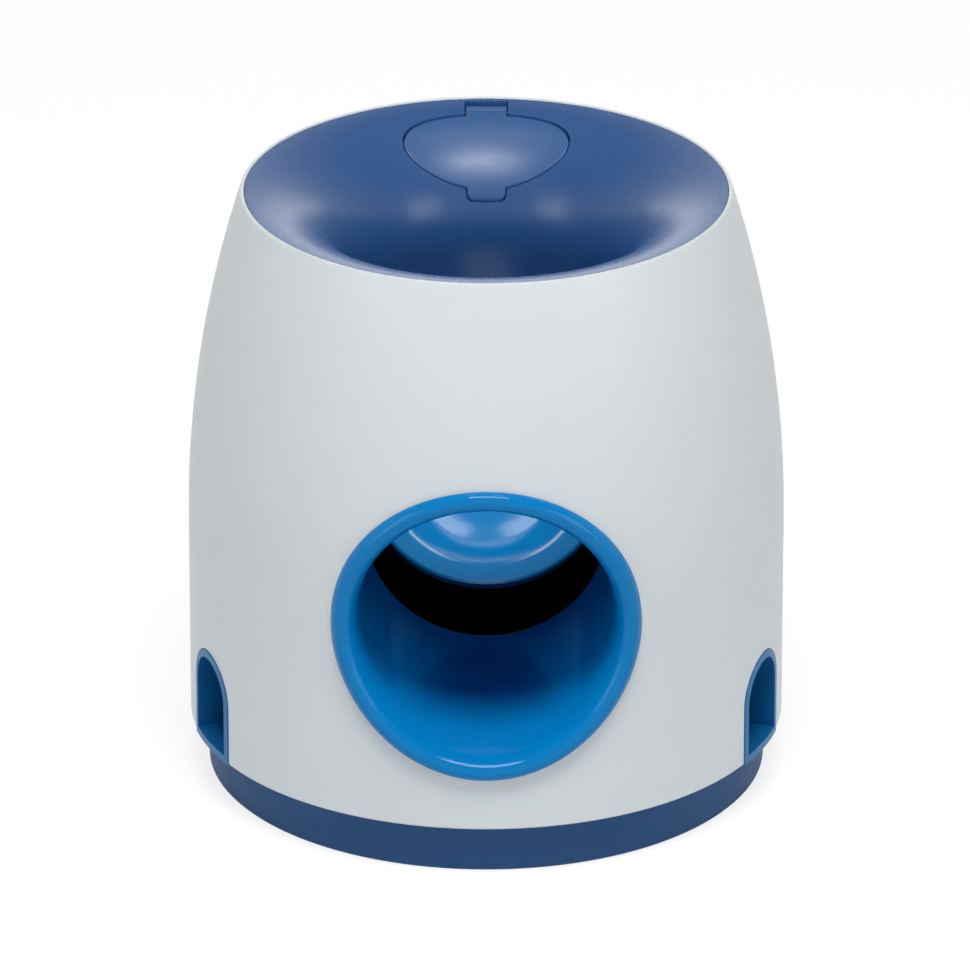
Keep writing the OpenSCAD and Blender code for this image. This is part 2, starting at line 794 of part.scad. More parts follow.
module return_spring() color("#9a9da0") {
    count = len(spring_path);
    echo(least_gap_of_the_spring_to_itself = spring_gap());
    at_pivot(dish_tilt) polyhedron(
        [for (i = [0:count - 1], p = tube_ring(spring_path, i, spring_wire / 2)) p],
        concat(ring_faces(count, spring_sides, false), end_fan(0, spring_sides, false),
            end_fan((count - 1) * spring_sides, spring_sides, true))
    );
}

// Dish with its bowl, a straight rear edge, the hub round the shaft and the pad for the shutter
module trigger_dish() color("#3f97dc") {
    difference() {
        union() {
            at_pivot(dish_tilt) intersection() {
                translate([0, -pivot_back, 0]) rotate_extrude() {
                    polygon([[bowl_r, -rim_t], [dish_r, -rim_t], [dish_r, -chamfer],
                        [dish_r - chamfer, 0], [bowl_r + chamfer, 0], [bowl_r, -chamfer]]);
                    intersection() {
                        translate([0, bowl_mid]) difference() {
                            circle(bowl_ball + dish_t);
                            circle(bowl_ball);
                        }
                        translate([0, -rim_step - bowl_depth - 2 * dish_t])
                            square([bowl_r + rim_w / 2, bowl_depth + 2 * dish_t + rim_step]);
                    }
                }
                translate([-dish_r, -3 * dish_r, -dish_r])
                    cube([2 * dish_r, 3 * dish_r - pivot_back + dish_back, 2 * dish_r]);
            }
            at_pivot(dish_tilt) {
                rotate([0, 90, 0]) translate([0, 0, -hub_left]) cylinder(r = hub_r, h = hub_left + hub_right);
                translate([-web_half, -6, -bowl_depth - rim_step])
                    cube([2 * web_half, 6, bowl_depth + rim_step - fit]);
            }
            at_pivot(slot_angle) translate([-shutter_half + 4, 0, -arm_w / 2 - 1])
                cube([2 * shutter_half - 8, pad_r, arm_w + 2]);
        }
        at_pivot() across(shaft_r + 0.02, body_r);
        for (s = [-1, 1]) at_pivot(slot_angle) translate([s * shutter_half / 2, pad_r, 0])
            rotate([90, 0, 0]) cylinder(r = screw_r * 0.8 + bore_play, h = 3.4);
    }
}

module trigger_shaft() color("#c8c8c8") {
    at_pivot() difference() {
        across(shaft_r, shaft_half);
        for (s = [-1, 1]) translate([s * (clip_x + clip_t / 2), 0, 0]) difference() {
            across(shaft_r + over, clip_t / 2 + seat);
            across(groove_r, clip_t);
        }
    }
}

module shaft_clips() color("#55585c") {
    for (s = [0, 1]) mirror([s, 0, 0]) at_pivot() translate([clip_x, 0, 0]) rotate([0, 90, 0])
        linear_extrude(clip_t) difference() {
            circle(shaft_r + 1.6);
            circle(groove_r + bore_play);
            translate([0, -groove_r * 0.8]) square([shaft_d, groove_r * 1.6]);
        }
}

module treat_shutter() color("#e9edf0") {
    at_pivot(slot_angle) difference() {
        union() {
            intersection() {
                difference() {
                    across(shutter_r, shutter_half);
                    across(shutter_r - shutter_t, body_r);
                }
                translate([-body_r, 0, -slot_w / 2 - shutter_lap])
                    cube([body_d, body_r, slot_w + 2 * shutter_lap]);
            }
            for (s = [-1, 1]) translate([s * (shutter_half - arm_t / 2) - arm_t / 2, pad_r + seat, -arm_w / 2])
                cube([arm_t, shutter_r - shutter_t / 2 - pad_r - seat, arm_w]);
            translate([-shutter_half, pad_r + seat, -arm_w / 2]) cube([2 * shutter_half, foot_t, arm_w]);
        }
        for (s = [-1, 1]) translate([s * shutter_half / 2, pad_r, 0]) rotate([-90, 0, 0])
            cylinder(r = screw_r * 0.8 + fit, h = foot_t + over);
    }
}

module shutter_screws() color("#b8bcc0") {
    for (s = [-1, 1]) at_pivot(slot_angle)
        translate([s * shutter_half / 2, pad_r + seat + foot_t + seat, 0]) rotate([90, 0, 0])
            screw(screw_r * 0.8, foot_t + 3, head_r * 0.8, head_t);
}

outer_shell();
funnel();
filler_flap();
flap_hinge_pin();
ball_tube();
left_treat_outlet();
right_treat_outlet();
base_ring();
base_tray();
base_screws();
treat_hopper();
hopper_screws();
treat_chute();
left_bearing_bracket();
right_bearing_bracket();
bracket_screws();
shaft_bushes();
return_spring();
trigger_dish();
trigger_shaft();
shaft_clips();
treat_shutter();
shutter_screws();
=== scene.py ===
"""Looks for the ball and treat toy: a finer ball tube, filler flap, treat chute, return spring, funnel and
trigger dish, finishes for every piece, a plain pale floor, soft studio light and the camera."""

from __future__ import annotations

import json
import logging
import math
from dataclasses import dataclass, field
from enum import Enum

import bpy
import numpy as np
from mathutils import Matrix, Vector

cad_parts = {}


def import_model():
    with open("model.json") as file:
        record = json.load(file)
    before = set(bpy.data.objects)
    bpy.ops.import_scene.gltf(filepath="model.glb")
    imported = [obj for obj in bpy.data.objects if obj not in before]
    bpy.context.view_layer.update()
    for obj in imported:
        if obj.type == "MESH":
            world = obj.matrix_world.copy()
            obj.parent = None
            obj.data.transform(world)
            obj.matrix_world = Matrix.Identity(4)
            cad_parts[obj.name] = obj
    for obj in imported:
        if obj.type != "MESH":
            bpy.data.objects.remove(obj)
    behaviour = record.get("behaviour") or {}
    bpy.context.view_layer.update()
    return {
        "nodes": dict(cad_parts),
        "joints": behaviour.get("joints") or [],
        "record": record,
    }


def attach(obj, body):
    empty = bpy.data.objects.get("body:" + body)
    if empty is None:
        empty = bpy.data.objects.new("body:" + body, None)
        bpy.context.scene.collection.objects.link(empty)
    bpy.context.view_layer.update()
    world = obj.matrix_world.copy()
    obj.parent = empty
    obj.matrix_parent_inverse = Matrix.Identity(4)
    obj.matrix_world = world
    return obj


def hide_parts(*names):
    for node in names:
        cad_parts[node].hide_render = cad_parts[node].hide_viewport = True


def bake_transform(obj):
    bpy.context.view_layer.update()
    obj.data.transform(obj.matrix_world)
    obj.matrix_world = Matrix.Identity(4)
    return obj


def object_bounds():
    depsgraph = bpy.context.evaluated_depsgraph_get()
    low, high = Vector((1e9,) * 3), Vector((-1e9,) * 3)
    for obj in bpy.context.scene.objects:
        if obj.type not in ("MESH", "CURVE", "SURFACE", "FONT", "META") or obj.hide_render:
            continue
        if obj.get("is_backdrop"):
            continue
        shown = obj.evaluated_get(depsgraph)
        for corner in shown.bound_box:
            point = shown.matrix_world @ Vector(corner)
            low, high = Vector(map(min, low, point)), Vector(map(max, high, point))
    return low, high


LOG = logging.getLogger("toy")
MM = 0.001
MERGE_DIGITS = 8
Colour = tuple[float, float, float]
Point = tuple[float, float, float]


class Gloss(Enum):
    """How a moulding leaves its tool: (roughness, specular level)."""

    MATT = (0.56, 0.22)
    SATIN = (0.40, 0.30)
    SHEEN = (0.27, 0.50)
    SOFT = (0.38, 0.55)
    GLOSS = (0.07, 0.15)
    POLISH = (0.10, 0.50)


class Throw(Enum):
    """What a lamp gives: (light on surfaces, a mirror image in gloss)."""

    BOTH = (True, True)
    LIGHT = (True, False)
    IMAGE = (False, True)


class NodeTree:
    """Thin wrapper that adds and links shader nodes."""

    def __init__(self, tree: bpy.types.NodeTree) -> None:
        """Start from an empty tree.

        Args:
            tree: the material's or the world's node tree.
        """
        self.tree = tree
        tree.nodes.clear()

    def add(self, kind: str, inputs: dict | None = None, **settings: object) -> bpy.types.Node:
        """Add a node, set its properties and its unlinked sockets, and link the linked ones.

        Args:
            kind: the node's type name without its ShaderNode prefix.
            inputs: socket name or index to a plain value or to another node's output socket.
            settings: the node's own properties.

        Returns:
            The new node.
        """
        node = self.tree.nodes.new("ShaderNode" + kind)
        for name, value in settings.items():
            setattr(node, name, value)
        for key, value in (inputs or {}).items():
            if isinstance(value, bpy.types.NodeSocket):
                self.tree.links.new(value, node.inputs[key])
            else:
                node.inputs[key].default_value = value
        return node


@dataclass(frozen=True)
class MouldedPlastic:
    """A moulded plastic: its colour, gloss, tool grain, faint flow clouds and, where set, softened edges."""

    name: str
    colour: Colour
    gloss: Gloss
    grain: float = 0.45 * MM
    grain_depth: float = 0.006 * MM
    cloud: float = 0.03
    edge: float = 0.0
    cloud_scale: float = 22.0
    scuff: float = 0.1
    scuff_scale: float = 260.0
    index: float = 1.49

    def material(self) -> bpy.types.Material:
        """Build the finish: grain and edge softening bend the normal, clouds tint colour and gloss.

        Returns:
            The new material.
        """
        made = bpy.data.materials.new(self.name)
        made.use_nodes = True
        nodes = NodeTree(made.node_tree)
        roughness, specular = self.gloss.value
        place = nodes.add("TexCoord").outputs["Object"]
        grain = nodes.add("TexNoise", {"Vector": place, "Scale": 1 / self.grain, "Detail": 2.0})
        clouds = nodes.add("TexNoise", {
            "Vector": place, "Scale": self.cloud_scale, "Detail": 3.0, "Roughness": 0.55})
        scuffs = nodes.add("TexNoise", {
            "Vector": place, "Scale": self.scuff_scale, "Detail": 4.0, "Roughness": 0.6})
        tint = nodes.add("MixRGB", {
            "Fac": clouds.outputs["Fac"],
            "Color1": (*(c * (1 - self.cloud) for c in self.colour), 1.0),
            "Color2": (*(min(c * (1 + self.cloud), 1.0) for c in self.colour), 1.0),
        })
        shine = nodes.add("MapRange", {
            "Value": scuffs.outputs["Fac"], "From Min": 0.3, "From Max": 0.7,
            "To Min": roughness * (1 - self.scuff), "To Max": roughness * (1 + self.scuff),
        })
        bump = nodes.add("Bump", {
            "Height": grain.outputs["Fac"], "Distance": self.grain_depth, "Strength": 0.6,
        })
        if self.edge > 0:
            soft = nodes.add("Bevel", {"Radius": self.edge}, samples=6)
            nodes.tree.links.new(soft.outputs["Normal"], bump.inputs["Normal"])
        body = nodes.add("BsdfPrincipled", {
            "Base Color": tint.outputs["Color"], "Roughness": shine.outputs["Result"],
            "Normal": bump.outputs["Normal"], "IOR": self.index, "Specular IOR Level": specular,
        })
        nodes.add("OutputMaterial", {"Surface": body.outputs["BSDF"]})
        return made


@dataclass(frozen=True)
class PlatedSteel:
    """Plated or drawn steel with fine streaks along one axis."""

    name: str
    colour: Colour
    roughness: float = 0.32
    along: tuple[float, float, float] = (1.0, 0.08, 1.0)
    spread: float = 0.3
    shade: float = 0.9
    streak_scale: float = 2600.0
    streak_depth: float = 0.004 * MM

    def material(self) -> bpy.types.Material:
        """Build the finish: stretched noise streaks the roughness and bends the normal a little.

        Returns:
            The new material.
        """
        made = bpy.data.materials.new(self.name)
        made.use_nodes = True
        nodes = NodeTree(made.node_tree)
        place = nodes.add("TexCoord").outputs["Object"]
        drawn = nodes.add("Mapping", {"Vector": place, "Scale": self.along})
        streak = nodes.add("TexNoise", {
            "Vector": drawn.outputs["Vector"], "Scale": self.streak_scale, "Detail": 2.0})
        shine = nodes.add("MapRange", {
            "Value": streak.outputs["Fac"],
            "To Min": self.roughness * (1 - self.spread), "To Max": self.roughness * (1 + self.spread),
        })
        tint = nodes.add("MixRGB", {
            "Fac": streak.outputs["Fac"],
            "Color1": (*(c * self.shade for c in self.colour), 1.0), "Color2": (*self.colour, 1.0),
        })
        bump = nodes.add("Bump", {
            "Height": streak.outputs["Fac"], "Distance": self.streak_depth, "Strength": 0.4})
        body = nodes.add("BsdfPrincipled", {
            "Base Color": tint.outputs["Color"], "Roughness": shine.outputs["Result"],
            "Normal": bump.outputs["Normal"], "Metallic": 1.0,
        })
        nodes.add("OutputMaterial", {"Surface": body.outputs["BSDF"]})
        return made


Finish = MouldedPlastic | PlatedSteel


class Surfaces:
    """Collects point grids and turns them into one smooth-shaded mesh object."""

    def __init__(self) -> None:
        """Start with no points and no faces."""
        self.points: list[np.ndarray] = []
        self.faces: list[np.ndarray] = []
        self.count = 0

    def grid(self, points: np.ndarray, wrap_u: bool = False, wrap_v: bool = False,
             flip: bool = False) -> None:
        """Add a grid of points as quads between neighbouring rows and columns.

        Args:
            points: array of shape (rows, columns, 3).
            wrap_u: join the last row to the first.
            wrap_v: join the last column to the first.
            flip: turn the faces round.
        """
        rows, columns = points.shape[:2]
        u = np.arange(rows if wrap_u else rows - 1)[:, None]
        v = np.arange(columns if wrap_v else columns - 1)[None, :]
        u2, v2 = (u + 1) % rows, (v + 1) % columns
        quads = np.stack(np.broadcast_arrays(
            u * columns + v, u2 * columns + v, u2 * columns + v2, u * columns + v2), axis=-1).reshape(-1, 4)
        self._keep(points.reshape(-1, 3), quads[:, ::-1] if flip else quads)

    def fan(self, ring: np.ndarray, middle: np.ndarray, flip: bool = False) -> None:
        """Close a ring of points with triangles to a middle point.

        Args:
            ring: array of shape (points, 3), in order round the ring.
            middle: the middle point.
            flip: turn the faces round.
        """
        count = len(ring)
        i = np.arange(count)
        tris = np.stack([i, (i + 1) % count, np.full(count, count)], axis=-1)
        self._keep(np.vstack([ring, middle]), tris[:, ::-1] if flip else tris)

    def cap(self, ring: np.ndarray, flip: bool = False) -> None:
        """Close a flat ring of points with one many-sided face.

        Args:
            ring: array of shape (points, 3), in order round the ring.
            flip: turn the face round.
        """
        face = np.arange(len(ring))[None, :]
        self._keep(ring, face[:, ::-1] if flip else face)

    def facets(self, node: bpy.types.Object) -> None:
        """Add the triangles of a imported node, which make() merges.

        Args:
            node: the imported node, which stays as it is.
        """
        mesh = node.data
        points = np.empty(len(mesh.vertices) * 3)
        mesh.vertices.foreach_get("co", points)
        index = np.empty(len(mesh.loops), dtype=np.int32)
        mesh.loops.foreach_get("vertex_index", index)
        self._keep(points.reshape(-1, 3), index.reshape(-1, 3))

    def _keep(self, points: np.ndarray, faces: np.ndarray) -> None:
        """Store points, and faces with their indices moved past the points already held.

        Args:
            points: array of shape (points, 3).
            faces: indices of each face's points, of shape (faces, corners).
        """
        self.points.append(points)
        self.faces.append(faces + self.count)
        self.count += len(points)

    def make(self, name: str, sharp: float = 40.0) -> bpy.types.Object:
        """Merge coincident points and make the mesh object at the origin.

        Args:
            name: the object's name.
            sharp: edges that turn by more than this many degrees stay sharp.

        Returns:
            The new object, linked to the scene.
        """
        points = np.vstack(self.points)
        whole, index = np.unique(np.round(points, MERGE_DIGITS), axis=0, return_inverse=True)
        index = index.reshape(-1)
        polygons = [row for faces in self.faces for row in index[faces].tolist()]
        mesh = bpy.data.meshes.new(name)
        mesh.from_pydata(whole.tolist(), [], polygons)
        mesh.validate()
        mesh.polygons.foreach_set("use_smooth", np.ones(len(mesh.polygons), dtype=bool))
        mesh.set_sharp_from_angle(angle=math.radians(sharp))
        made = bpy.data.objects.new(name, mesh)
        bpy.context.scene.collection.objects.link(made)
        return made


def arc(start: float, end: float, count: int) -> np.ndarray:
    """Angles in radians from start to end degrees, both ends included."""
    return np.radians(np.linspace(start, end, count))


def line(start: tuple, end: tuple, count: int) -> np.ndarray:
    """Points spaced evenly on a straight line, both ends included."""
    return np.linspace(np.asarray(start, float), np.asarray(end, float), count)


def rounded(corners: np.ndarray, radius: np.ndarray, steps: int) -> np.ndarray:
    """Round each corner of a closed outline.

    A quadratic curve leaves the side before the corner at the radius, bends towards the corner and joins
    the side after it at the same distance.

    Args:
        corners: array of shape (corners, dimensions); only the first two dimensions give the distance.
        radius: the distance for each corner.
        steps: points on each curve.

    Returns:
        Array of shape (corners * steps, dimensions).
    """
    before, after = np.roll(corners, 1, axis=0) - corners, np.roll(corners, -1, axis=0) - corners
    start = corners + before * (radius / np.linalg.norm(before[:, :2], axis=1))[:, None]
    end = corners + after * (radius / np.linalg.norm(after[:, :2], axis=1))[:, None]
    t = np.linspace(0, 1, steps)[None, :, None]
    curve = (1 - t) ** 2 * start[:, None] + 2 * t * (1 - t) * corners[:, None] + t ** 2 * end[:, None]
    return curve.reshape(-1, corners.shape[1])


def swept_tube(path: np.ndarray, radius: float, sides: int) -> np.ndarray:
    """Rings of a round wire along a path: each point plus a circle in the plane square to the path.

    Args:
        path: array of shape (points, 3).
        radius: the wire's radius.
        sides: points round each ring.

    Returns:
        Array of shape (points, sides, 3).
    """
    along = np.gradient(path, axis=0)
    along /= np.linalg.norm(along, axis=1, keepdims=True)
    across = np.cross(along, np.array([1.0, 0.0, 0.0]))
    across /= np.linalg.norm(across, axis=1, keepdims=True)
    up = np.cross(along, across)
    turn = np.linspace(0, 2 * math.pi, sides, endpoint=False)
    return path[:, None, :] + radius * (
        np.cos(turn)[None, :, None] * across[:, None, :] + np.sin(turn)[None, :, None] * up[:, None, :])


def tilted(local: np.ndarray, tilt: float, pivot: Point) -> np.ndarray:
    """Turn points about the X axis and set them on a pivot.

    Args:
        local: array of shape (..., 3), round the origin.
        tilt: the angle in radians.
        pivot: where the origin goes.

    Returns:
        The points in the toy's frame, in the same shape.
    """
    cos, sin = math.cos(tilt), math.sin(tilt)
    return local @ np.array([[1, 0, 0], [0, cos, -sin], [0, sin, cos]]).T + np.array(pivot)


def put_material(piece: bpy.types.Object, material: bpy.types.Material) -> None:
    """Give a piece, or a CAD node, this one material."""
    piece.data.materials.clear()
    piece.data.materials.append(material)


@dataclass(frozen=True)
class Barrel:
    """The barrel that the port's lip lies on: straight to the belly, then one arc to the rim."""

    radius: float = 86.5 * MM
    height: float = 178.0 * MM
    belly: float = 76.0 * MM
    rim: float = 70.6 * MM

    def radius_at(self, z: np.ndarray) -> np.ndarray:
        """Radius of the outside at a height.

        Args:
            z: heights above the floor.

        Returns:
            Radii, from the circle that is tangent to the straight part and meets the rim.
        """
        rise, drop = self.height - self.belly, self.radius - self.rim
        bend = (rise ** 2 + drop ** 2) / (2 * drop)
        above = np.maximum(z - self.belly, 0.0)
        return self.radius - bend + np.sqrt(bend ** 2 - above ** 2)


@dataclass(frozen=True)
class Trumpet:
    """The funnel's visible surface: part of a torus round the toy's axis."""

    bend: float = 34.94572 * MM
    ring: float = 72.44572 * MM
    height: float = 142.78726 * MM

    def height_at(self, x: np.ndarray, y: np.ndarray, inset: np.ndarray | float) -> np.ndarray:
        """Height over a plan point of the surface that lies a given depth under the trumpet's.

        Args:
            x: plan positions to the right.
            y: plan positions to the back.
            inset: depths, square to the surface.

        Returns:
            Heights, from the section circle with its radius less the depth.
        """
        return self.height + np.sqrt((self.bend - inset) ** 2 - (self.ring - np.hypot(x, y)) ** 2)


@dataclass
class PortTube:
    """The front tube that the ball rolls out of, with its rolled lip on the barrel."""

    barrel: Barrel
    axis_height: float = 75.7 * MM
    bore: float = 34.8 * MM
    flare: float = 1.8 * MM
    wall: float = 2.4 * MM
    rear: float = 8.3 * MM
    throat_cut: float = 40.7 * MM
    flare_depth: float = 14.0 * MM
    flare_bend: float = 4.5 * MM
    flare_lift: float = 1.3 * MM
    lip_radius: float = 44.3 * MM
    crown_radius: float = 42.0 * MM
    crown_rise: float = 2.65 * MM
    foot_gap: float = 0.3 * MM
    neck_lift: float = 0.1 * MM
    neck_depth: float = 5.0 * MM
    rear_blend: float = 0.07
    turns: int = 288
    flare_steps: int = 40
    fall_steps: int = 20
    under_steps: int = 7
    neck_steps: int = 5
    edge_steps: int = 13
    wall_steps: int = 16

    def bore_at(self, y: np.ndarray) -> np.ndarray:
        """Radius of the bore at a depth: it grows evenly from the rear edge to the mouth."""
        return self.bore + self.flare * (-y - self.rear) / (self.barrel.radius - self.rear)

    def lip_profile(self) -> np.ndarray:
        """Section of the lip as [distance from the mouth's bore, height above the barrel, share of the cone].

        A cubic curve flares from the bore to the crown, a quarter ellipse falls to the foot, and the
        underside runs back to the neck in the shell's hole. Where the share is one, the distance counts
        from the bore's own radius at that place.

        Returns:
            Array of shape (points, 3), from the bore to the neck.
        """
        mouth = self.bore + self.flare
        crown = self.crown_radius - mouth
        t = np.linspace(0, 1, self.flare_steps)
        weights = np.stack([(1 - t) ** 3, 3 * t * (1 - t) ** 2, 3 * t ** 2 * (1 - t), t ** 3], axis=-1)
        knots = np.array([[0.0, -self.flare_depth, 1.0], [0.0, -self.flare_bend, 1.0],
                          [self.flare_lift, self.crown_rise, 0.0], [crown, self.crown_rise, 0.0]])
        fall = arc(0, 90, self.fall_steps)[1:]
        outer = np.stack([crown + (self.lip_radius - self.crown_radius) * np.sin(fall),
                          self.foot_gap + (self.crown_rise - self.foot_gap) * np.cos(fall),
                          np.zeros_like(fall)], axis=-1)
        neck = self.wall + self.neck_lift
        foot = (self.lip_radius - mouth, self.foot_gap, 0.0)
        under = line(foot, (neck, self.foot_gap, 0.0), self.under_steps)[1:]
        down = line((neck, self.foot_gap, 1.0), (neck, -self.neck_depth, 1.0), self.neck_steps)[1:]
        return np.vstack([weights @ knots, outer, under, down])

    def on_barrel(self, profile: np.ndarray, turn: np.ndarray) -> np.ndarray:
        """Carry a section round the port, so that its heights stand on the barrel.

        Args:
            profile: array of shape (points, 3), as lip_profile gives it.
            turn: angles round the port.

        Returns:
            Array of shape (turns, points, 3); Y solves x*x + y*y = (barrel radius + height) squared.
        """
        mouth = self.bore + self.flare
        reach = mouth + np.broadcast_to(profile[None, :, 0], (len(turn), len(profile)))
        placed = self._stand(reach, profile[None, :, 1], turn)
        cone = self.bore_at(placed[..., 1]) - mouth
        return self._stand(reach + cone * profile[None, :, 2], profile[None, :, 1], turn)

    def _stand(self, reach: np.ndarray, height: np.ndarray, turn: np.ndarray) -> np.ndarray:
        """Points at a distance from the port's axis, each at its height above the barrel.

        Args:
            reach: distances from the axis, of shape (turns, points).
            height: heights above the barrel, of shape (1, points).
            turn: angles round the port.

        Returns:
            Array of shape (turns, points, 3).
        """
        x = reach * np.cos(turn)[:, None]
        z = self.axis_height + reach * np.sin(turn)[:, None]
        y = -np.sqrt((self.barrel.radius_at(z) + height) ** 2 - x ** 2)
        return np.stack([x, y, z], axis=-1)

    def rear_line(self, turn: np.ndarray) -> np.ndarray:
        """Y of the tube's rear edge round the port: clear of the throat above, a ledge below.

        Args:
            turn: angles round the port.

        Returns:
            Y values, blended over a few degrees at the tube's sides.
        """
        middle = self.bore + self.wall / 2
        above = -np.sqrt(self.throat_cut ** 2 - (middle * np.cos(turn)) ** 2)
        share = np.clip(np.sin(turn) / self.rear_blend * 0.5 + 0.5, 0.0, 1.0)
        share = share * share * (3 - 2 * share)
        return above * share - self.rear * (1 - share)

    def build(self) -> bpy.types.Object:
        """Make the tube as one closed ring of sections round the port's axis.

        The lip's section comes first, then the outer wall to the rear, a half round edge, and the bore
        back to the lip; both walls lie on the cone of the bore.

        Returns:
            The tube's object.
        """
        turn = np.linspace(0, 2 * math.pi, self.turns, endpoint=False)
        lip = self.on_barrel(self.lip_profile(), turn)
        edge = self.wall / 2
        rear = self.rear_line(turn)[:, None] - edge
        round_ = arc(0, 180, self.edge_steps)[None, :]
        steps = np.linspace(0, 1, self.wall_steps)[None, 1:-1]
        outside = lip[:, -1:, 1] + (rear - lip[:, -1:, 1]) * steps
        inside = rear + (lip[:, :1, 1] - rear) * steps
        ys = np.concatenate([outside, rear + edge * np.sin(round_), inside], axis=1)
        lift = np.concatenate([np.full(steps.shape, self.wall), edge + edge * np.cos(round_),
                               np.zeros(steps.shape)], axis=1)
        reach = self.bore_at(ys) + lift
        walls = np.stack([reach * np.cos(turn)[:, None], ys,
                          self.axis_height + reach * np.sin(turn)[:, None]], axis=-1)
        surfaces = Surfaces()
        surfaces.grid(np.concatenate([lip, walls], axis=1), wrap_u=True, wrap_v=True, flip=True)
        return surfaces.make("ball_tube_moulding")

    def dress(self, piece: bpy.types.Object, material: bpy.types.Material) -> None:
        """Finish the tube and set it in the housing in place of its CAD node.

        Args:
            piece: the tube's object.
            material: its finish.
        """
        put_material(piece, material)
        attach(piece, "housing")
        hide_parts("ball_tube")


